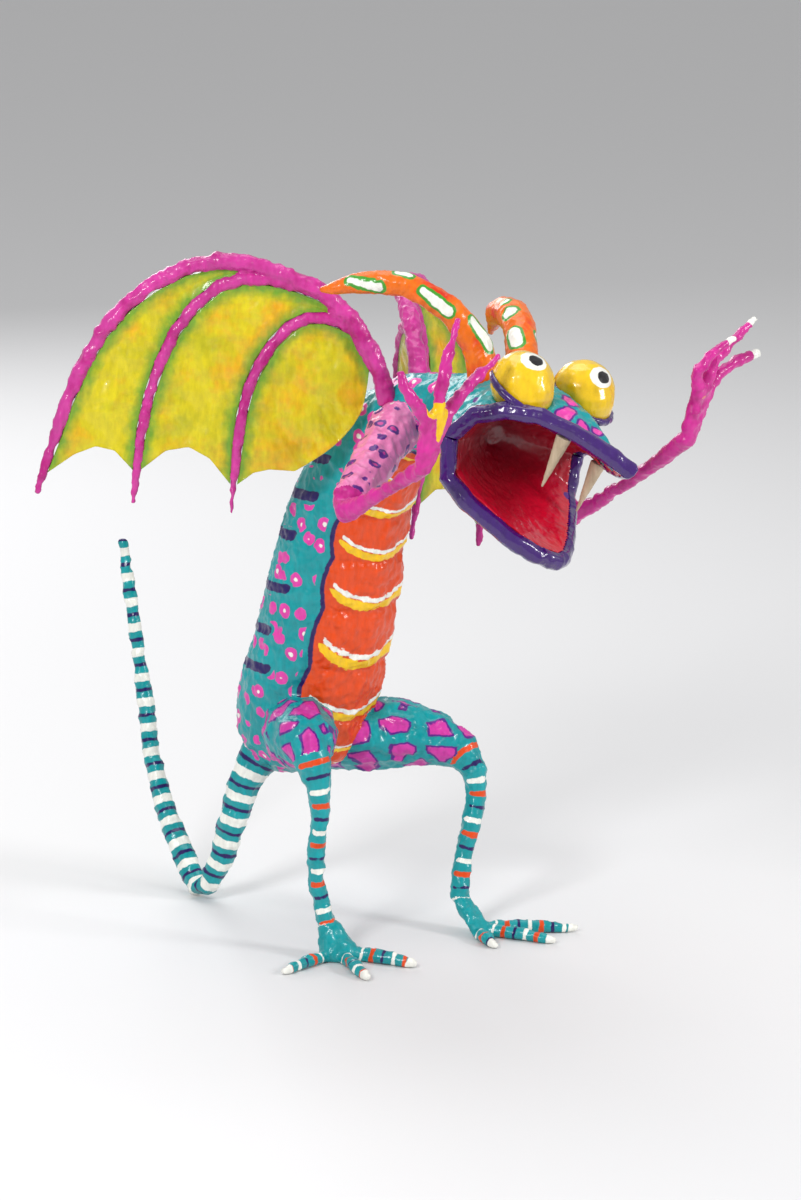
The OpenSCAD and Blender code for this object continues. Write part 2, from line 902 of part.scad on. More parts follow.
stand() torso();
stand() newspaper_core();
stand() spine_wire();
stand() head_shell();
stand() lower_jaw();
stand() mouth_lining();
stand() lip(-90);  // upper_lip
stand() lip(90);  // lower_lip
stand() eye(0);  // right_eye
stand() eye(1);  // left_eye
stand() eyelid(0);  // right_eyelid
stand() eyelid(1);  // left_eyelid
stand() fang(0);  // right_fang
stand() fang(1);  // left_fang
stand() color("orange") horn(0);  // right_horn
stand() color("orange") horn(1);  // left_horn
stand() upper_arm(0);  // right_upper_arm
stand() forearm(0);  // right_forearm
stand() palm(0);  // right_palm
stand() finger(0, 0);  // right_finger_1
stand() finger(0, 1);  // right_finger_2
stand() finger(0, 2);  // right_finger_3
stand() limb_wire(arm_paths[0], arm_last, z_ref);  // right_arm_wire
stand() upper_arm(1);  // left_upper_arm
stand() forearm(1);  // left_forearm
stand() palm(1);  // left_palm
stand() finger(1, 0);  // left_finger_1
stand() finger(1, 1);  // left_finger_2
stand() finger(1, 2);  // left_finger_3
stand() limb_wire(arm_paths[1], arm_last, z_ref);  // left_arm_wire
stand() thigh(0);  // right_thigh
stand() shank(0);  // right_shank
stand() foot(0);  // right_foot
stand() toe(0, 0);  // right_toe_1
stand() toe(0, 1);  // right_toe_2
stand() toe(0, 2);  // right_toe_3
stand() limb_wire(leg_paths[0], leg_last, z_ref);  // right_leg_wire
stand() thigh(1);  // left_thigh
stand() shank(1);  // left_shank
stand() foot(1);  // left_foot
stand() toe(1, 0);  // left_toe_1
stand() toe(1, 1);  // left_toe_2
stand() toe(1, 2);  // left_toe_3
stand() limb_wire(leg_paths[1], leg_last, z_ref);  // left_leg_wire
stand() tail_root();
stand() tail_whip();
stand() limb_wire(tail_path, tail_last, x_ref);  // tail_wire
stand() wing_spar(0);  // right_wing_spar
stand() wing_rib(0, mid_stations());  // right_wing_middle_rib
stand() wing_rib(0, inner_stations());  // right_wing_inner_rib
stand() wing_membrane(0);  // right_wing_membrane
stand() wing_wire(0);  // right_wing_wire
stand() wing_spar(1);  // left_wing_spar
stand() wing_rib(1, mid_stations());  // left_wing_middle_rib
stand() wing_rib(1, inner_stations());  // left_wing_inner_rib
stand() wing_membrane(1);  // left_wing_membrane
stand() wing_wire(1);  // left_wing_wire
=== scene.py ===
import math

import bpy
import numpy as np
from mathutils import Matrix, Vector, noise
from mathutils.bvhtree import BVHTree


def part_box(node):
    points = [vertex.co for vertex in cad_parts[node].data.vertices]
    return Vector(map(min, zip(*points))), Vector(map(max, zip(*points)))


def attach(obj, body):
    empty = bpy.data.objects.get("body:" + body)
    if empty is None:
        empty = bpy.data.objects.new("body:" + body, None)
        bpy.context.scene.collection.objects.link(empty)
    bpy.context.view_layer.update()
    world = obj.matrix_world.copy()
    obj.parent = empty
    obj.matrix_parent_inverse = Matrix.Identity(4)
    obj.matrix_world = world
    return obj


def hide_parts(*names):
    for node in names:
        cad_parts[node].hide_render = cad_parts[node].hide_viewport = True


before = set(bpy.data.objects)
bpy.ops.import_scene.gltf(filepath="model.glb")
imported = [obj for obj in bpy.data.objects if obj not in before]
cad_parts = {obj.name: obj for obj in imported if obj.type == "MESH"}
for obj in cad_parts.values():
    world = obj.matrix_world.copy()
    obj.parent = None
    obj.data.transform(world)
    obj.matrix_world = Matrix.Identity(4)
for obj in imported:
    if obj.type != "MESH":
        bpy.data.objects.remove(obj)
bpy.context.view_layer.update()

# ---- Frame ----

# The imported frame's origin, in design millimetres
STAND = np.array([-16.0, 22.5, 0.0])

CAMERA_AT = (-2.4809, -2.7939, 1.1596)
CAMERA_RIGHT = Vector((0.74704, -0.66431, 0.02484))
CAMERA_UP = Vector((0.14281, 0.19685, 0.96998))
CAMERA_BACK = Vector((-0.64926, -0.72107, 0.24192))


def srgb(r, g, b):
    """A linear colour from 0 to 255 screen values."""
    def linear(c):
        c = c / 255
        return c / 12.92 if c <= 0.04045 else ((c + 0.055) / 1.055) ** 2.4
    return (linear(r), linear(g), linear(b), 1.0)


TEAL = srgb(0, 152, 158)
INDIGO = srgb(30, 10, 88)
PURPLE = srgb(84, 22, 128)
PINK = srgb(220, 62, 164)
PALE_PINK = srgb(236, 128, 186)
ORCHID = srgb(202, 52, 158)
MAGENTA = srgb(206, 40, 146)
DEEP_MAGENTA = srgb(178, 20, 120)
ORANGE = srgb(222, 70, 4)
RED_ORANGE = srgb(214, 44, 12)
HORN_ORANGE = srgb(238, 112, 8)
YELLOW = srgb(244, 196, 8)
MEMBRANE = srgb(216, 200, 10)
GREEN = srgb(64, 150, 40)
OLIVE = srgb(150, 164, 16)
WHITE = srgb(238, 238, 230)
CRIMSON = srgb(206, 10, 46)
MOUTH_SHADE_CRIMSON = srgb(110, 2, 28)
BLACK = srgb(10, 8, 16)
WOOD = srgb(196, 178, 152)
DARK_WOOD = srgb(140, 114, 84)

# ---- Centrelines, in design millimetres: x, y, z and radius ----

TORSO = [
    (0, 98, 96, 15), (0, 99, 104, 30), (0, 98, 120, 41), (0, 93, 142, 44), (0, 84, 170, 44),
    (0, 74, 202, 43), (0, 66, 234, 42), (0, 58, 264, 40), (0, 48, 292, 37), (0, 34, 318, 33),
    (0, 15, 339, 29), (0, -8, 353, 26), (0, -32, 361, 23), (0, -54, 365, 22),
]
# Torso stations where the belly plates begin and end, and how many there are
PLATES_FROM, PLATES_TO, PLATE_COUNT = 2.2, 10.5, 7
TAIL = [
    (-8, 104, 124, 11), (-18, 114, 108, 14), (-26, 120, 88, 11), (-31, 126, 62, 10),
    (-33, 134, 34, 8), (-36, 145, 10, 7), (-35, 157, 7, 7), (-31, 175, 21, 7), (-27, 204, 52, 7),
    (-23, 222, 84, 6), (-20, 235, 124, 5), (-20, 245, 164, 5), (-20, 254, 200, 4),
    (-20, 259, 222, 3),
]
LEGS = {
    "right": [
        (-59, 17, 130, 12), (-58, 11, 113, 8), (-57, 10, 94, 6), (-57, 13, 70, 6),
        (-56, 13, 46, 6), (-52, 7, 22, 6), (-51, -2, 7, 6),
    ],
    "left": [
        (70, 15, 114, 13), (72, 5, 103, 9), (71, 2, 86, 7), (65, 0, 67, 6), (59, 0, 47, 6),
        (54, -4, 22, 6), (53, -14, 7, 6),
    ],
}
FOOT_CENTRES = {"right": (-51, -2, 7), "left": (53, -14, 7)}
TOE_TIPS = {
    "right": [(-103, -10, 2.5), (-69, -53, 2.5), (-25, -50, 2.5)],
    "left": [(43, -52, 2.5), (82, -67, 2.5), (112, -55, 2.5)],
}
FINGER_TIPS = {
    "right": [(-141, -149, 422), (-98, -153, 450), (-63, -152, 423)],
    "left": [(130, -161, 413), (158, -151, 421), (166, -147, 397)],
}

# ---- Painted spots: chains of (x, y, z, radius) in design millimetres ----

HEAD_SPOTS = [
    [(-7, -158, 388, 5.5), (-4, -152, 391, 3)],
    [(-24, -169, 383, 5), (-15, -167, 386, 3.5)],
    [(-18, -181, 376, 4.5), (-15, -176, 379, 2.5)],
    [(-8, -183, 374, 3.5)],
    [(-28, -144, 384, 2.6), (-21, -149, 384, 3.2)],
    [(-26, -174, 378, 3.2)],
    [(12, -168, 380, 4.5), (16, -160, 384, 3)],
    [(24, -150, 382, 4.5), (30, -142, 384, 3)],
    [(-44, -128, 386, 3.5), (-50, -120, 386, 2.5)],
    [(-58, -96, 384, 4.5), (-62, -86, 382, 3)],
    [(44, -104, 372, 5), (46, -92, 372, 3)],
    [(-10, -70, 398, 5), (-12, -60, 396, 3)],
    [(10, -72, 396, 4.5), (12, -62, 392, 3)],
    [(-34, -66, 388, 4.5), (-36, -58, 384, 3)],
]
NAPE_STREAKS = [
    [(-24, -44, 388, 2), (-26, -20, 378, 3.4), (-24, 4, 366, 1.5)],
    [(-12, -40, 392, 2), (-12, -14, 384, 3.2), (-10, 10, 372, 1.5)],
    [(4, -40, 392, 2), (4, -14, 382, 3.2), (6, 10, 370, 1.5)],
    [(-30, -48, 372, 1.6), (-30, -30, 366, 2.6), (-28, -12, 358, 1.2)],
]
HORN_SPOTS = {
    "right": [
        [(-29, -91, 430, 3.4), (-22, -100, 416, 4.4)],
        [(-54, -72, 449, 2.6), (-44, -84, 437, 3.8)],
        [(-61, -56, 459, 2.6), (-57, -62, 457, 2.6)],
        [(-84, -37, 453, 2.2), (-72, -51, 450, 3.4)],
        [(-30, -72, 440, 4.5), (-24, -80, 430, 4.5)],
        [(-72, -34, 460, 3.5), (-66, -40, 462, 3.5)],
    ],
    "left": [
        [(28, -63, 425, 5.5)],
        [(13, -86, 411, 4.5), (16, -79, 416, 5)],
        [(31, -84, 412, 3)],
        [(44, -46, 416, 5)],
        [(34, -50, 432, 4.5)],
        [(62, -30, 400, 4)],
    ],
}
# Only the left hand has white nails
NAIL_LENGTHS = {"right": -5, "left": 7}
EYE_LOOKS = {"right": (-34, -154, 417), "left": (25, -153, 399)}
PALM_PATCHES = {
    "right": [(-120, -155, 396, 5), (-111, -157, 396, 5), (-113, -154, 378, 2)],
    "left": [(108, -162, 376, 4), (116, -160, 376, 4), (110, -156, 360, 2)],
}
MOUTH_SPOTS = [
    [(30, -110, 322, 4)], [(26, -124, 318, 3.5)], [(32, -100, 336, 4)], [(22, -132, 326, 3)],
    [(30, -122, 338, 3.5)],
]

# ---- Sizes of the painted marks, in millimetres unless said otherwise ----

# The belly's half width at torso stations, the bulge of each plate's edge past it, and the
# station where the belly paint ends
BELLY_STATIONS = [1.2, 2.4, 4, 9, 11]
BELLY_HALF_WIDTHS = [0, 22, 36, 31, 22]
BELLY_BULGE = 3.0
BELLY_TOP = 10.9
STATION_MM = 20
PLATE_MM = 25
# A seam's height in the middle of a plate, and how much more it has at the plate's ends
SEAM_MIDDLE, SEAM_RISE = 2.5, 9
SEAM_HALF = 2.3
# Past this share of the half width a seam thins, this fast and at most this much
SEAM_THINS_FROM, SEAM_THINNING, SEAM_THINNEST = 0.75, 6, 2
CHALK_ABOVE, CHALK_HALF = 3.6, 1.1
CHALK_SHARE = 0.86
# Seams and chalk stop this far inside the belly's edge; stripes start this far outside it
BELLY_MARGIN, STRIPE_MARGIN = 4, 8
# Heights of the dark stripes across the back
STRIPE_HEIGHTS = (168, 194, 224, 260, 288, 314)
STRIPE_HALF = 3.4
# Degrees off the front where a stripe ends, and how much sooner every second one does
STRIPE_END, STRIPE_STAGGER = 88, 10
# How much a stripe rises for each degree away from the middle of the back
STRIPE_RISE = 0.06
# Distance given to places that a mark cannot reach
OUT_OF_REACH = 10.0

# Orange, purple and white dashes take turns; the first is this far along
DASH_COLOURS = ("orange", "purple", "white")
DASH_START = 3
SHANK_FRONT = (-0.4, -1, 0)
SHANK_PITCH, SHANK_HALVES = 9, (1.9, 1.1, 1.7)
# Degrees off the shank's front where its dashes begin to fade, and how fast
SHANK_DASH_END, SHANK_DASH_FADE = 62, 0.12
TOE_PITCH, TOE_HALVES = 7.5, (1.5, 1.0, 1.3)
# No dashes this near the foot's middle
INSTEP, INSTEP_FADE = 18, 2
TOE_NAIL = 7
TAIL_PITCH = 17
# Half width and start of each colour of tail band
TAIL_BANDS = {"white_band": (2.9, 4), "purple_band": (1.2, 12.5)}
# Squash in height, shift to the side and reach of the ovals on an eye
EYE_OVALS = {"white": (1.45, 0.0, 9.5), "pupil": (1.35, 0.8, 5.2)}
# Painted shade darkens the mouth from here, by these shares of the way inward and upward
MOUTH_Y, MOUTH_Z = -110, 340
SHADE_INWARD, SHADE_UPWARD = 0.6, 0.25

# ---- Sizes of the modelled relief ----

# The belly pads: middle in plan, reach from it, heights and half width, in design millimetres
PAD_MIDDLE, PAD_REACH = (0, 55), 100
PAD_BOTTOM, PAD_TOP, PAD_HALF = 100, 366, 46
# Millimetres over which a pad rises from its edge
PAD_EDGE = 5
# Metres of relief, then the shares of it that make pad and groove
PAD_DEPTH, PAD_RISE, PAD_SINK = 0.0022, 1.35, 0.55
# Shares of Taubin smoothing's two steps
SMOOTH_STEP, UNSHRINK_STEP = 0.55, -0.5
# Lumps are this many times as far apart as creases, and this many times as deep
LUMP_SPACING, LUMP_DEPTH = 2.4, 1.1
# Metres above the floor in which the relief fades in, so the soles stay flat
SOLE_FADE = 0.004
# Voxel, smoothing rounds, crease depth and crease spacing; lengths in metres
SKINS = {
    "body": (0.0013, 4, 0.0009, 0.0105),
    "wing": (0.0011, 5, 0.0008, 0.0095),
    "horn": (0.0009, 5, 0.0004, 0.008),
    "eye": (0.0009, 6, 0.0002, 0.009),
    "eyelid": (0.0006, 4, 0.0002, 0.006),
    "fang": (0.0005, 3, 0.00012, 0.004),
    "lip": (0.0009, 8, 0.00045, 0.014),
    "mouth_lining": (0.0008, 3, 0.0002, 0.009),
}
# Metres round a node's box in which a face may belong to it, and a distance past any
NODE_MARGIN, FAR = 0.006, 1.0
SHEET_LEVELS, SHEET_ROUNDS = 3, 10
# Metres from a rib in which a sheet is held to it
SHEET_HELD = 0.008
# Depth and spacing of a sheet's creases and of its slower swells, in metres
FOLD_DEPTH, FOLD_SPACING, FOLD_OCTAVES = 0.0017, 0.026, 4
SWELL_DEPTH, SWELL_SPACING = 0.0012, 0.045
# Every so many points are enough to find a sheet's flat direction
SHEET_SAMPLE = 7
# A point faces broadly across the sheet when its normal leans at least this much that way
SHEET_BROAD = 0.5

# ---- Mesh arrays ----


def node_mesh(name):
    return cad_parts[name].data


def surface_of(name):
    """A search tree over a CAD node's surface."""
    mesh = node_mesh(name)
    return BVHTree.FromPolygons(
        [v.co for v in mesh.vertices], [list(p.vertices) for p in mesh.polygons])


def mesh_points(mesh):
    flat = np.empty(len(mesh.vertices) * 3)
    mesh.vertices.foreach_get("co", flat)
    return flat.reshape(-1, 3)


def new_mesh(name, points, faces):
    mesh = bpy.data.meshes.new(name)
    mesh.from_pydata(points.tolist(), [], faces.tolist())
    mesh.polygons.foreach_set("use_smooth", [True] * len(faces))
    return mesh


def evaluated(mesh, modifier_type, **settings):
    """Points and faces of a mesh after one modifier."""
    obj = bpy.data.objects.new("working", mesh)
    bpy.context.scene.collection.objects.link(obj)
    modifier = obj.modifiers.new("working", modifier_type)
    for key, value in settings.items():
        setattr(modifier, key, value)
    done = bpy.data.meshes.new_from_object(
        obj.evaluated_get(bpy.context.evaluated_depsgraph_get()))
    points = mesh_points(done)
    corners = np.empty(len(done.loops), int)
    done.loops.foreach_get("vertex_index", corners)
    bpy.data.objects.remove(obj)
    bpy.data.meshes.remove(done)
    return points, corners.reshape(-1, 4)


def fused(names, voxel):
    """One closed skin over several CAD nodes."""
    points, faces = [], []
    for name in names:
        mesh = node_mesh(name)
        base = len(points)
        points += [tuple(v.co) for v in mesh.vertices]
        faces += [[base + i for i in p.vertices] for p in mesh.polygons]
    mesh = bpy.data.meshes.new("fused")
    mesh.from_pydata(points, [], faces)
    return evaluated(mesh, "REMESH", mode="VOXEL", voxel_size=voxel)


def smoothed(points, faces, rounds):
    """Taubin smoothing: facets go, thin limbs keep their thickness."""
    edges = np.concatenate([faces[:, [i, (i + 1) % 4]] for i in range(4)])
    edges = np.unique(np.sort(edges, axis=1), axis=0)
    ends = np.concatenate([edges, edges[:, ::-1]])
    degree = np.bincount(ends[:, 0], minlength=len(points))[:, None]
    for step in range(2 * rounds):
        mean = np.stack([
            np.bincount(ends[:, 0], points[ends[:, 1], k], len(points)) for k in range(3)
        ], axis=1) / degree
        points = points + (SMOOTH_STEP if step % 2 == 0 else UNSHRINK_STEP) * (mean - points)
    return points


def normals_of(points, faces):
    across = np.cross(points[faces[:, 2]] - points[faces[:, 0]],
                      points[faces[:, 3]] - points[faces[:, 1]])
    total = np.zeros_like(points)
    for k in range(4):
        for axis in range(3):
            total[:, axis] += np.bincount(faces[:, k], across[:, axis], len(points))
    return total / np.maximum(np.linalg.norm(total, axis=1, keepdims=True), 1e-12)


def wrinkles(points, size, octaves=3):
    """Creases of pasted paper, from about -1 to 1, with folds about `size` metres apart."""
    raw = np.array([
        noise.ridged_multi_fractal(Vector(p) / size, 0.9, 2.1, octaves, 1.0, 2.0) for p in points
    ])
    return (raw - raw.mean()) / (2 * raw.std() + 1e-9)


def papered(points, faces, depth, size):
    """Points pushed along their normals into creases and shallow hand-laid lumps."""
    lumps = np.array([noise.noise(Vector(p) / (size * LUMP_SPACING)) for p in points])
    push = depth * wrinkles(points, size) + depth * LUMP_DEPTH * lumps
    off_floor = np.clip(points[:, 2] / SOLE_FADE, 0, 1)
    return points + normals_of(points, faces) * (push * off_floor)[:, None]


def puffed(points, faces):
    """The belly plates stand out as soft pads with a groove between two of them."""
    place = design_mm(points)
    torso = np.flatnonzero(np.linalg.norm(place[:, :2] - PAD_MIDDLE, axis=1) < PAD_REACH)
    near = torso[(place[torso, 2] > PAD_BOTTOM) & (place[torso, 2] < PAD_TOP)]
    _, _, share, _, _, belly = belly_place(place[near])
    on_axis = np.abs(place[near, 0]) < PAD_HALF
    inset = np.clip(-belly / PAD_EDGE, 0, 1)
    pad = np.sqrt(np.clip(np.sin(math.pi * share), 0, 1)) * PAD_RISE - PAD_SINK
    out = points.copy()
    out[near] += normals_of(points, faces)[near] * (PAD_DEPTH * inset * pad * on_axis)[:, None]
    return out


def design_mm(points):
    return points * 1000 + STAND

# ---- Distances used as paint guides ----

PATH_STEPS = 12
# Points handled at once, to spare memory
BLOCK = 20000


def fine_path(stations):
    """A smooth chain of samples through the stations, and each sample's station number."""
    rows = np.array(stations, float)
    last = len(rows) - 1
    out, number = [], []
    for i in range(last):
        a, b, c, d = rows[max(i - 1, 0)], rows[i], rows[i + 1], rows[min(i + 2, last)]
        for k in range(PATH_STEPS):
            t = k / PATH_STEPS
            out.append(0.5 * (2 * b + (c - a) * t + (2 * a - 5 * b + 4 * c - d) * t ** 2
                              + (3 * b - 3 * c + d - a) * t ** 3))
            number.append(i + t)
    out.append(rows[last])
    number.append(last)
    return np.array(out), np.array(number)


def limb_coordinates(points, stations, front):
    """For each point: millimetres along the limb, station number, angle round it in degrees."""
    path, number = fine_path(stations)
    centre = path[:, :3]
    gaps = np.linalg.norm(np.diff(centre, axis=0), axis=1)
    length = np.concatenate([[0], np.cumsum(gaps)])
    tangent = np.gradient(centre, axis=0)
    tangent /= np.linalg.norm(tangent, axis=1, keepdims=True)
    near = np.empty(len(points), int)
    for start in range(0, len(points), BLOCK):
        block = points[start:start + BLOCK]
        gap = ((block[:, None, :] - centre[None]) ** 2).sum(axis=2)
        near[start:start + BLOCK] = gap.argmin(axis=1)
    t = tangent[near]
    out = points - centre[near]
    slide = (out * t).sum(axis=1)
    step = gaps.mean()
    ahead = np.broadcast_to(np.array(front, float), t.shape)
    ahead = ahead - (ahead * t).sum(axis=1, keepdims=True) * t
    ahead /= np.linalg.norm(ahead, axis=1, keepdims=True)
    side = np.cross(t, ahead)
    angle = np.degrees(np.arctan2((out * side).sum(axis=1), (out * ahead).sum(axis=1)))
    station = number[near] + np.clip(slide / step, -1, 1) / PATH_STEPS
    return length[near] + slide, station, angle


def chain_distance(points, chain):
    """Millimetres to a chain of balls of varying radius."""
    rows = np.array(chain, float)
    if len(rows) == 1:
        return np.linalg.norm(points - rows[0, :3], axis=1) - rows[0, 3]
    best = np.full(len(points), np.inf)
    for a, b in zip(rows[:-1], rows[1:]):
        span = b[:3] - a[:3]
        t = np.clip((points - a[:3]) @ span / (span @ span), 0, 1)
        gap = np.linalg.norm(points - a[:3] - t[:, None] * span, axis=1)
        best = np.minimum(best, gap - (a[3] + t * (b[3] - a[3])))
    return best


def spots_distance(points, chains):
    return np.min([chain_distance(points, chain) for chain in chains], axis=0)


def bands(along, pitch, half, start=0.0, every=1, turn=0):
    """Millimetres to bands across a limb; of every few bands, only one has this colour."""
    number = np.round((along - start) / pitch)
    gap = np.abs(along - start - number * pitch) - half
    return np.where(number % every == turn, gap, OUT_OF_REACH)


def dashes(along, pitch, halves, fade):
    """Distances to dashes of each colour in turn, ended by a fade that grows off them."""
    every = len(DASH_COLOURS)
    return {
        colour + "_dash": bands(along, pitch, half, DASH_START, every, turn) + fade
        for turn, (colour, half) in enumerate(zip(DASH_COLOURS, halves))
    }


def belly_place(points):
    """For each point: degrees off the front, torso radius, share of its plate from 0 to 1,
    and millimetres across, of half the belly's width, and past the belly's edge."""
    _, station, angle = limb_coordinates(points, TORSO, (0, -1, 0))
    radius = np.interp(station, range(len(TORSO)), [row[3] for row in TORSO])
    aside = np.abs(angle)
    per_plate = (PLATES_TO - PLATES_FROM) / PLATE_COUNT
    plate = (station - PLATES_FROM) / per_plate
    share = plate - np.floor(plate)
    across = aside * math.pi / 180 * radius
    half_width = np.interp(station, BELLY_STATIONS, BELLY_HALF_WIDTHS)
    half_width = half_width + BELLY_BULGE * np.sin(math.pi * share)
    belly = np.maximum(across - half_width, (station - BELLY_TOP) * STATION_MM)
    return aside, radius, share, across, half_width, belly


def torso_guides(points):
    aside, radius, share, across, half_width, belly = belly_place(points)
    height = share * PLATE_MM
    outward = across / np.maximum(half_width, 1)
    smile = SEAM_MIDDLE + SEAM_RISE * outward ** 2
    thinning = np.clip((outward - SEAM_THINS_FROM) * SEAM_THINNING, 0, SEAM_THINNEST)
    seam = np.abs(height - smile) - SEAM_HALF + thinning
    chalk = np.maximum(np.abs(height - smile - CHALK_ABOVE) - CHALK_HALF,
                       across - CHALK_SHARE * half_width)
    off_belly = np.maximum(belly + BELLY_MARGIN, 0)
    stripe = np.full(len(points), OUT_OF_REACH)
    for k, z in enumerate(STRIPE_HEIGHTS):
        end = STRIPE_END + STRIPE_STAGGER * (k % 2)
        past_end = np.maximum(end - aside, 0) * math.pi / 180 * radius
        off_middle = points[:, 2] - z - STRIPE_RISE * (180 - aside)
        stripe = np.minimum(stripe, np.hypot(past_end, off_middle) - STRIPE_HALF)
    return {
        "belly": belly, "seam": seam + off_belly, "chalk": chalk + off_belly,
        "stripe": np.maximum(stripe, STRIPE_MARGIN - belly),
        "nape": spots_distance(points, NAPE_STREAKS),
    }


def head_guides(points):
    return {
        "spot": spots_distance(points, HEAD_SPOTS),
        "nape": spots_distance(points, NAPE_STREAKS),
    }


def shank_guides(points, side):
    along, _, angle = limb_coordinates(points, LEGS[side], SHANK_FRONT)
    fade = np.maximum(np.abs(angle) - SHANK_DASH_END, 0) * SHANK_DASH_FADE
    return dashes(along, SHANK_PITCH, SHANK_HALVES, fade)


def nearest_tip(points, tips):
    return np.min([np.linalg.norm(points - np.array(t), axis=1) for t in tips], axis=0)


def foot_guides(points, side):
    reach = np.linalg.norm(points - np.array(FOOT_CENTRES[side]), axis=1)
    bare_instep = np.maximum(INSTEP - reach, 0) * INSTEP_FADE
    guides = dashes(reach, TOE_PITCH, TOE_HALVES, bare_instep)
    guides["nail"] = nearest_tip(points, TOE_TIPS[side]) - TOE_NAIL
    return guides


def tail_guides(points):
    along, _, _ = limb_coordinates(points, TAIL, (0, -1, 0))
    return {name: bands(along, TAIL_PITCH, half, start)
            for name, (half, start) in TAIL_BANDS.items()}


def hand_guides(points, side):
    return {
        "patch": chain_distance(points, PALM_PATCHES[side]),
        "nail": nearest_tip(points, FINGER_TIPS[side]) - NAIL_LENGTHS[side],
    }


def eye_guides(points, side):
    gap = points - np.array(EYE_LOOKS[side], float)
    guides = {}
    for name, (squash, shift, reach) in EYE_OVALS.items():
        aside = (gap[:, 0] - shift) ** 2 + gap[:, 1] ** 2
        guides[name] = np.sqrt(aside + (squash * gap[:, 2]) ** 2) - reach
    return guides


def mouth_guides(points):
    inward, upward = points[:, 1] - MOUTH_Y, points[:, 2] - MOUTH_Z
    return {
        "spot": spots_distance(points, MOUTH_SPOTS),
        # Painted shade: a distance that grows deeper into the mouth and up towards the palate
        "painted_mouth_shade": inward * SHADE_INWARD + upward * SHADE_UPWARD,
    }


def horn_guides(points, side):
    return {"spot": spots_distance(points, HORN_SPOTS[side])}


def guides_for(name, points):
    side = name.split("_")[0]
    if name == "torso":
        return torso_guides(points)
    if name in ("head_shell", "lower_jaw"):
        return head_guides(points)
    if "shank" in name:
        return shank_guides(points, side)
    if "foot" in name or "toe" in name:
        return foot_guides(points, side)
    if name.startswith("tail"):
        return tail_guides(points)
    if "palm" in name or "finger" in name or "forearm" in name:
        return hand_guides(points, side)
    if name.endswith("_eye"):
        return eye_guides(points, side)
    if name == "mouth_lining":
        return mouth_guides(points)
    if name.endswith("_horn"):
        return horn_guides(points, side)
    return {}

# ---- Paint ----


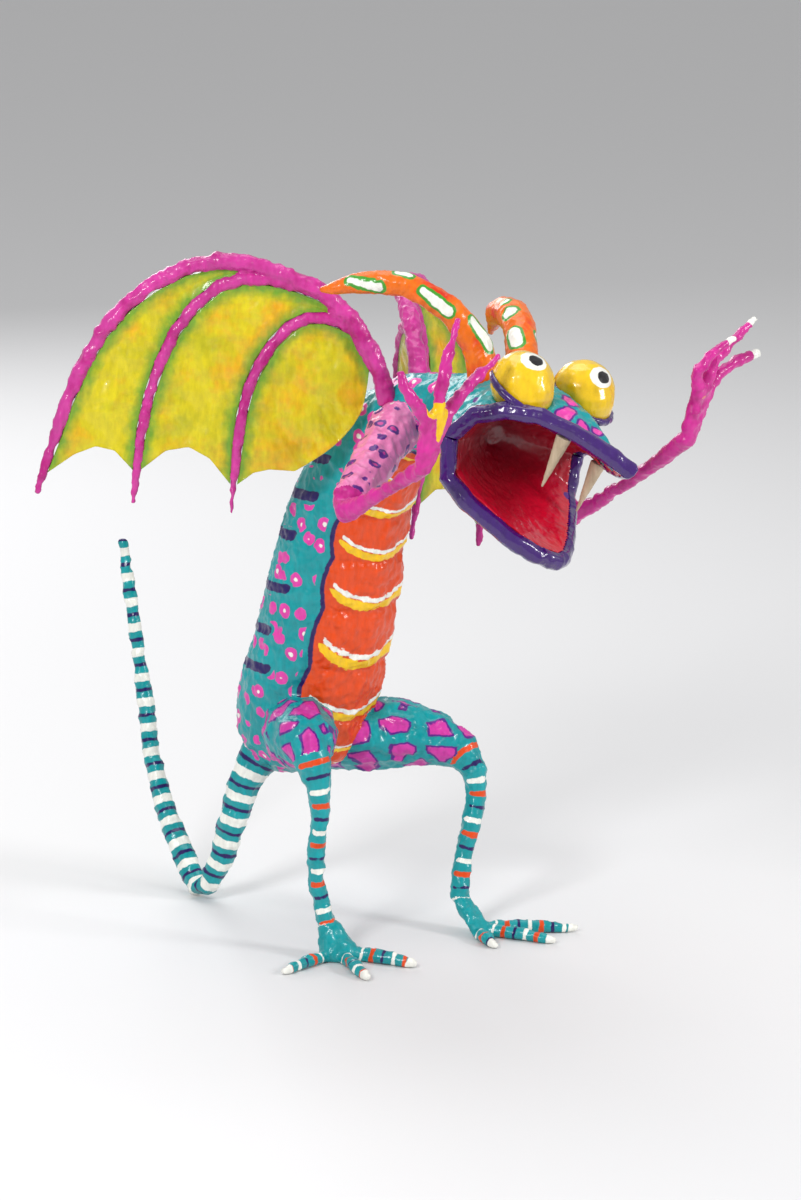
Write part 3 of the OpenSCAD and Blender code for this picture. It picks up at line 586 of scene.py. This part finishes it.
class Paint:
    """A hand-painted, varnished material: a ground colour and layers brushed over it."""

    # The colour inputs and the colour result of a mix node
    MIX_A, MIX_B, MIX_RESULT = 6, 7, 2
    # The ground varies from dark to light over patches this wide, in millimetres
    TONE_MM, DARK, LIGHT = 28, 0.72, 1.18
    # A painted edge wanders this far over this length, in millimetres
    WOBBLE_MM, WOBBLE = 4.5, 2.2
    STREAK_MM, STREAK_STRETCH = 3.2, (1.0, 1.0, 0.35)
    GRIME_MM = 11
    # Share of the colour kept between brush streaks, and how much the streaks add
    SHADE, STREAK_SHADE = 0.72, 0.55
    ROUGHNESS_SPREAD = 0.22
    COAT_ROUGHNESS, SPECULAR = 0.1, 0.32
    # Metres of height in the brush relief
    RELIEF = 0.0007

    def __init__(self, name, ground):
        self.material = bpy.data.materials.new(name)
        self.material.use_nodes = True
        self.tree = self.material.node_tree
        self.shader = self.tree.nodes["Principled BSDF"]
        self.place = self.node("ShaderNodeTexCoord").outputs["Object"]
        tone = self.noise(self.TONE_MM, 3)
        self.colour = self.mixed(tone, scaled(ground, self.DARK), scaled(ground, self.LIGHT))
        centred = self.math("SUBTRACT", self.noise(self.WOBBLE_MM, 2), 0.5)
        self.wobble = self.math("MULTIPLY", centred, self.WOBBLE)

    def node(self, kind):
        return self.tree.nodes.new(kind)

    def connect(self, value, socket):
        if isinstance(value, bpy.types.NodeSocket):
            self.tree.links.new(value, socket)
        else:
            socket.default_value = value

    def math(self, operation, a, b=0.0, clamp=False):
        node = self.node("ShaderNodeMath")
        node.operation = operation
        node.use_clamp = clamp
        self.connect(a, node.inputs[0])
        self.connect(b, node.inputs[1])
        return node.outputs[0]

    def mixed(self, share, a, b, blend="MIX"):
        node = self.node("ShaderNodeMix")
        node.data_type = "RGBA"
        node.blend_type = blend
        self.connect(share, node.inputs[0])
        self.connect(a, node.inputs[self.MIX_A])
        self.connect(b, node.inputs[self.MIX_B])
        return node.outputs[self.MIX_RESULT]

    def noise(self, size_mm, detail, stretch=None):
        node = self.node("ShaderNodeTexNoise")
        node.inputs["Scale"].default_value = 1000 / size_mm
        node.inputs["Detail"].default_value = detail
        if stretch:
            mapping = self.node("ShaderNodeMapping")
            mapping.inputs["Scale"].default_value = stretch
            self.connect(self.place, mapping.inputs["Vector"])
            self.connect(mapping.outputs[0], node.inputs["Vector"])
        else:
            self.connect(self.place, node.inputs["Vector"])
        return node.outputs["Fac"]

    def cells(self, size_mm, feature="F1", spread=1.0):
        """Millimetres to the middle, or to the edge, of cells about size_mm wide."""
        node = self.node("ShaderNodeTexVoronoi")
        node.feature = feature
        node.inputs["Scale"].default_value = 1000 / size_mm
        node.inputs["Randomness"].default_value = spread
        self.connect(self.place, node.inputs["Vector"])
        return self.math("MULTIPLY", node.outputs["Distance"], size_mm)

    def guide(self, name):
        node = self.node("ShaderNodeAttribute")
        node.attribute_name = name
        return node.outputs["Fac"]

    def inside(self, distance, reach=0.0, soft=0.5):
        """1 where a distance in millimetres is below reach, with a hand-painted edge."""
        gap = self.math("SUBTRACT", reach, self.math("ADD", distance, self.wobble))
        return self.math("ADD", self.math("DIVIDE", gap, soft), 0.5, clamp=True)

    def over(self, colour, mask):
        self.colour = self.mixed(mask, self.colour, colour)
        return self

    def layer(self, guide, colour, reach=0.0, soft=0.5):
        return self.over(colour, self.inside(self.guide(guide), reach, soft))

    def done(self, roughness=0.34, coat=0.32, bump=0.7):
        streaks = self.noise(self.STREAK_MM, 4, self.STREAK_STRETCH)
        grime = self.noise(self.GRIME_MM, 5)
        shade = self.math("ADD", self.math("MULTIPLY", streaks, self.STREAK_SHADE), self.SHADE)
        grey = self.node("ShaderNodeCombineColor")
        for channel in range(3):
            self.connect(shade, grey.inputs[channel])
        shaded = self.mixed(1.0, self.colour, grey.outputs[0], "MULTIPLY")
        self.connect(shaded, self.shader.inputs["Base Color"])
        spread = self.ROUGHNESS_SPREAD
        rough = self.math("ADD", self.math("MULTIPLY", grime, spread), roughness - spread / 2)
        self.connect(rough, self.shader.inputs["Roughness"])
        self.shader.inputs["Coat Weight"].default_value = coat
        self.shader.inputs["Coat Roughness"].default_value = self.COAT_ROUGHNESS
        self.shader.inputs["Specular IOR Level"].default_value = self.SPECULAR
        height = self.math("ADD", self.math("MULTIPLY", streaks, 0.5),
                           self.math("MULTIPLY", grime, 0.5))
        relief = self.node("ShaderNodeBump")
        relief.inputs["Strength"].default_value = bump
        relief.inputs["Distance"].default_value = self.RELIEF
        self.connect(height, relief.inputs["Height"])
        self.connect(relief.outputs[0], self.shader.inputs["Normal"])
        self.connect(relief.outputs[0], self.shader.inputs["Coat Normal"])
        return self.material


def scaled(colour, factor):
    return tuple(min(c * factor, 1.0) for c in colour[:3]) + (1.0,)


def body_paint():
    paint = Paint("body_paint", TEAL)
    ring = paint.cells(13, "F1", 0.7)
    off_stripe = paint.inside(paint.math("MULTIPLY", paint.guide("stripe"), -1), -2.5)
    off_belly = paint.inside(paint.math("MULTIPLY", paint.guide("belly"), -1), -7)
    where = paint.math("MULTIPLY", off_stripe, off_belly)
    paint.over(PINK, paint.math("MULTIPLY", paint.inside(ring, 4.9), where))
    paint.over(WHITE, paint.math("MULTIPLY", paint.inside(ring, 1.7), where))
    paint.layer("nape", PINK)
    paint.layer("stripe", INDIGO)
    paint.layer("belly", INDIGO, 3.2)
    paint.layer("belly", ORANGE, 0.2)
    paint.layer("seam", YELLOW)
    paint.layer("chalk", WHITE)
    return paint.done()


def head_paint():
    paint = Paint("head_paint", TEAL)
    paint.layer("nape", PINK)
    paint.layer("spot", PURPLE, 1.3)
    paint.layer("spot", PINK, -0.4)
    return paint.done()


def thigh_paint():
    paint = Paint("thigh_paint", TEAL)
    edge = paint.cells(21, "DISTANCE_TO_EDGE", 0.8)
    flipped = paint.math("MULTIPLY", edge, -1)
    paint.over(PURPLE, paint.inside(flipped, -2.9))
    paint.over(ORCHID, paint.inside(flipped, -4.2))
    return paint.done()


def arm_paint():
    paint = Paint("arm_paint", PALE_PINK)
    ragged = paint.math("MULTIPLY", paint.noise(7, 2), 5)
    spot = paint.math("ADD", paint.cells(12, "F1", 0.9), ragged)
    paint.over(PURPLE, paint.inside(spot, 6.6))
    paint.over(MAGENTA, paint.inside(spot, 4.3))
    # Painted highlights: small white dots scattered over the upper arm
    paint.over(WHITE, paint.inside(paint.cells(19, "F1", 1.0), 2.2))
    return paint.done()


def hand_paint():
    paint = Paint("hand_paint", MAGENTA)
    paint.over(DEEP_MAGENTA, paint.inside(paint.math("MULTIPLY", paint.noise(14, 3), 10), 4.2, 2))
    paint.layer("patch", YELLOW)
    paint.layer("nail", WHITE)
    return paint.done()


def dashed(paint):
    """The dashes that shanks and feet share."""
    paint.layer("orange_dash", ORANGE)
    paint.layer("purple_dash", INDIGO)
    return paint.layer("white_dash", WHITE)


def foot_paint():
    return dashed(Paint("foot_paint", TEAL)).layer("nail", WHITE).done()


def shank_paint():
    return dashed(Paint("shank_paint", TEAL)).done()


def tail_paint():
    paint = Paint("tail_paint", TEAL)
    paint.layer("white_band", WHITE)
    paint.layer("purple_band", INDIGO)
    return paint.done()


def horn_paint():
    paint = Paint("horn_paint", HORN_ORANGE)
    paint.over(RED_ORANGE, paint.inside(paint.math("MULTIPLY", paint.noise(20, 2), 10), 3.8, 2))
    paint.layer("spot", GREEN, 1.6)
    paint.layer("spot", WHITE, -0.3)
    return paint.done()


def eye_paint():
    paint = Paint("eye_paint", YELLOW)
    paint.layer("white", WHITE)
    paint.layer("pupil", BLACK)
    return paint.done(0.28, 0.8, 0.3)


def mouth_paint():
    paint = Paint("mouth_paint", CRIMSON)
    # Painted shade: the crimson darkens deeper into the mouth and up towards the palate
    # A negative softness paints where the distance is above the reach, not below it
    paint.layer("painted_mouth_shade", scaled(MOUTH_SHADE_CRIMSON, 0.8), 0, -30)
    paint.layer("spot", PURPLE)
    return paint.done(0.34, 0.5)


def lip_paint():
    return Paint("lip_paint", INDIGO).over(PURPLE, 0.35).done(0.26, 0.9)


def rib_paint():
    paint = Paint("wing_rib_paint", scaled(PINK, 0.85))
    patches = paint.math("MULTIPLY", paint.noise(18, 3), 10)
    paint.over(DEEP_MAGENTA, paint.inside(patches, 4.3, 2.5))
    return paint.done()


def membrane_paint():
    paint = Paint("wing_sheet_paint", MEMBRANE)
    warm = paint.math("MULTIPLY", paint.noise(30, 4), 10)
    paint.over(srgb(232, 158, 6), paint.math("MULTIPLY", paint.inside(warm, 4.3, 2), 0.8))
    cool = paint.math("MULTIPLY", paint.noise(22, 5, (1.0, 1.0, 1.6)), 10)
    paint.over(OLIVE, paint.math("MULTIPLY", paint.inside(cool, 4.2, 2), 0.4))
    ragged = paint.math("ADD", paint.guide("rib"), paint.math("MULTIPLY", paint.noise(9, 5), 9))
    paint.over(GREEN, paint.math("MULTIPLY", paint.inside(ragged, 9.5, 7), 0.8))
    return paint.done(0.4, 0.45, 0.8)


def wood_paint():
    paint = Paint("fang_wood", WOOD)
    grain = paint.noise(1.6, 5, (1.0, 1.0, 0.12))
    paint.over(DARK_WOOD, paint.math("MULTIPLY", grain, 0.5))
    return paint.done(0.6, 0.0, 0.8)


def wire_metal():
    paint = Paint("armature_wire", srgb(150, 150, 152))
    material = paint.done(0.4, 0.0, 0.3)
    paint.shader.inputs["Metallic"].default_value = 1.0
    return material


def newsprint():
    paint = Paint("newspaper", srgb(176, 170, 158))
    paint.over(srgb(60, 58, 56), paint.math("MULTIPLY", paint.noise(1.4, 2, (1, 1, 6)), 0.5))
    return paint.done(0.85, 0.0, 0.8)


PAINTS = {
    "body": body_paint(), "head": head_paint(), "thigh": thigh_paint(), "arm": arm_paint(),
    "hand": hand_paint(), "foot": foot_paint(), "shank": shank_paint(), "tail": tail_paint(),
    "horn": horn_paint(), "eye": eye_paint(), "mouth": mouth_paint(), "lip": lip_paint(),
    "rib": rib_paint(), "membrane": membrane_paint(), "fang": wood_paint(),
    "wire": wire_metal(), "newspaper": newsprint(),
}


def paint_of(name):
    for key, words in (
        ("newspaper", ("newspaper",)), ("wire", ("wire",)), ("membrane", ("membrane",)),
        ("rib", ("spar", "rib")), ("lip", ("_lip", "eyelid")), ("horn", ("horn",)),
        ("eye", ("_eye",)), ("fang", ("fang",)), ("mouth", ("mouth",)),
        ("head", ("head", "jaw")), ("arm", ("upper_arm",)),
        ("hand", ("forearm", "palm", "finger")), ("thigh", ("thigh",)), ("shank", ("shank",)),
        ("foot", ("foot", "toe")), ("tail", ("tail",)), ("body", ("torso",)),
    ):
        if any(word in name for word in words):
            return PAINTS[key]
    raise ValueError(name)


# ---- Pieces ----


def piece(name, points, faces, normals=None, guides=None):
    mesh = new_mesh(name + "_skin", points, faces)
    for key, values in (guides or guides_for(name, design_mm(points))).items():
        layer = mesh.attributes.new(key, "FLOAT", "POINT")
        layer.data.foreach_set("value", values.astype(np.float32))
    if normals is not None:
        mesh.normals_split_custom_set_from_vertices(normals.tolist())
    mesh.materials.append(paint_of(name))
    obj = bpy.data.objects.new(name + "_skin", mesh)
    bpy.context.scene.collection.objects.link(obj)
    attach(obj, "root")
    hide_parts(name)


def cut_apart(names, points, faces, smooth_points):
    """One piece for each CAD node: a face belongs to the node whose surface is nearest."""
    middles = smooth_points[faces].mean(axis=1)
    gaps = []
    for name in names:
        tree = surface_of(name)
        low, high = (np.array(c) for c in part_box(name))
        near = ((middles > low - NODE_MARGIN) & (middles < high + NODE_MARGIN)).all(axis=1)
        gap = np.full(len(middles), FAR)
        for i in np.flatnonzero(near):
            gap[i] = tree.find_nearest(Vector(middles[i]))[3]
        gaps.append(gap)
    owner = np.argmin(gaps, axis=0)
    normals = normals_of(points, faces)
    for k, name in enumerate(names):
        own = faces[owner == k]
        used, compact = np.unique(own, return_inverse=True)
        piece(name, points[used], compact.reshape(-1, 4), normals[used])


def skin_group(names, skin, fill=()):
    """Pieces for some CAD nodes, remeshed as one skin together with what fills them."""
    voxel, rounds, depth, size = SKINS[skin]
    points, faces = fused(list(names) + list(fill), voxel)
    points = smoothed(points, faces, rounds)
    if "torso" in names:
        points = puffed(points, faces)
    creased = papered(points, faces, depth, size)
    if len(names) == 1:
        piece(names[0], creased, faces)
    else:
        cut_apart(names, creased, faces, points)


SIDES = ("right", "left")
BODY = ["torso", "head_shell", "lower_jaw", "tail_root", "tail_whip"]
for side in SIDES:
    BODY += [side + "_" + part for part in (
        "upper_arm", "forearm", "palm", "finger_1", "finger_2", "finger_3",
        "thigh", "shank", "foot", "toe_1", "toe_2", "toe_3")]
WIRES = [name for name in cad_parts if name.endswith("wire")]
BODY_WIRES = [name for name in WIRES if "wing" not in name]


def ribs_of(side):
    return [side + "_wing_" + part for part in ("spar", "middle_rib", "inner_rib")]


skin_group(BODY, "body", BODY_WIRES + ["newspaper_core"])
for side in SIDES:
    skin_group(ribs_of(side), "wing", [side + "_wing_wire"])
    for part in ("horn", "eye", "eyelid", "fang"):
        skin_group([side + "_" + part], part)
for lip in ("upper_lip", "lower_lip"):
    skin_group([lip], "lip")
skin_group(["mouth_lining"], "mouth_lining")

# ---- Wing membranes ----


def membrane(side):
    """Thin creased sheets, held at the ribs and loose between them."""
    name = side + "_wing_membrane"
    source = node_mesh(name)
    mesh = bpy.data.meshes.new("sheet")
    welded = {}
    index = [welded.setdefault(tuple(round(c, 6) for c in v.co), len(welded))
             for v in source.vertices]
    mesh.from_pydata(list(welded), [], [[index[i] for i in p.vertices] for p in source.polygons])
    points, faces = evaluated(
        mesh, "SUBSURF", subdivision_type="SIMPLE", levels=SHEET_LEVELS,
        render_levels=SHEET_LEVELS)
    normals = normals_of(points, faces)
    centred = points - points.mean(axis=0)
    flat = np.linalg.svd(centred[::SHEET_SAMPLE], full_matrices=False)[2][2]
    sheet_normal = normals * np.sign(normals @ flat)[:, None]
    broad = np.abs(normals @ flat) > SHEET_BROAD
    gap = np.full(len(points), FAR)
    for rib in ribs_of(side):
        tree = surface_of(rib)
        gap = np.minimum(gap, [tree.find_nearest(Vector(p))[3] for p in points])
    free = np.clip(gap / SHEET_HELD, 0, 1)
    points = points + (smoothed(points, faces, SHEET_ROUNDS) - points) * free[:, None]
    swells = np.array([noise.noise(Vector(p) / SWELL_SPACING) for p in points])
    folds = (FOLD_DEPTH * wrinkles(points, FOLD_SPACING, FOLD_OCTAVES)
             + SWELL_DEPTH * swells)
    points = points + sheet_normal * (folds * free * broad)[:, None]
    piece(name, points, faces, guides={"rib": gap * 1000})


for side in SIDES:
    membrane(side)

# ---- Hidden CAD parts ----

for name in WIRES + ["newspaper_core"]:
    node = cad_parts[name]
    node.data.materials.clear()
    node.data.materials.append(paint_of(name))

# ---- Studio ----

FLOOR_REACH = 6.0
FLOOR_GREY = (0.74, 0.74, 0.75, 1)
LIGHTS_AIM = Vector((0, 0, 0.25))
# Name, place and side in metres, and watts
LIGHTS = (
    ("key_left", (-1.6, -0.6, 1.3), 0.45, 21),
    ("key_right", (0.9, -1.6, 1.0), 0.45, 16),
    ("top", (0.2, 0.4, 1.9), 1.2, 10),
    ("back", (0.6, 1.6, 0.9), 0.9, 9),
)
LENS_MM, SENSOR_MM = 180, 36


def floor():
    mesh = bpy.data.meshes.new("floor")
    reach = FLOOR_REACH
    mesh.from_pydata(
        [(-reach, -reach, 0), (reach, -reach, 0), (reach, reach, 0), (-reach, reach, 0)],
        [], [(0, 1, 2, 3)])
    obj = bpy.data.objects.new("floor", mesh)
    bpy.context.scene.collection.objects.link(obj)
    material = bpy.data.materials.new("floor")
    material.use_nodes = True
    shader = material.node_tree.nodes["Principled BSDF"]
    shader.inputs["Base Color"].default_value = FLOOR_GREY
    shader.inputs["Roughness"].default_value = 0.6
    mesh.materials.append(material)


def soft_light(name, at, size, power):
    data = bpy.data.lights.new(name, "AREA")
    data.shape = "SQUARE"
    data.size = size
    data.energy = power
    obj = bpy.data.objects.new(name, data)
    obj.location = at
    aim = LIGHTS_AIM - Vector(at)
    obj.rotation_euler = aim.to_track_quat("-Z", "Y").to_euler()
    bpy.context.scene.collection.objects.link(obj)


def camera():
    data = bpy.data.cameras.new("camera")
    data.lens = LENS_MM
    data.sensor_width = SENSOR_MM
    data.sensor_fit = "AUTO"
    data.clip_end = 50
    obj = bpy.data.objects.new("camera", data)
    axes = Matrix((CAMERA_RIGHT, CAMERA_UP, CAMERA_BACK)).transposed().to_4x4()
    obj.matrix_world = Matrix.Translation(CAMERA_AT) @ axes
    bpy.context.scene.collection.objects.link(obj)
    bpy.context.scene.camera = obj


floor()
for light in LIGHTS:
    soft_light(*light)
world = bpy.data.worlds.new("studio")
world.use_nodes = True
world.node_tree.nodes["Background"].inputs["Color"].default_value = (1.0, 1.0, 1.0, 1)
world.node_tree.nodes["Background"].inputs["Strength"].default_value = 0.5
bpy.context.scene.world = world
bpy.context.scene.view_settings.view_transform = "Standard"
camera()
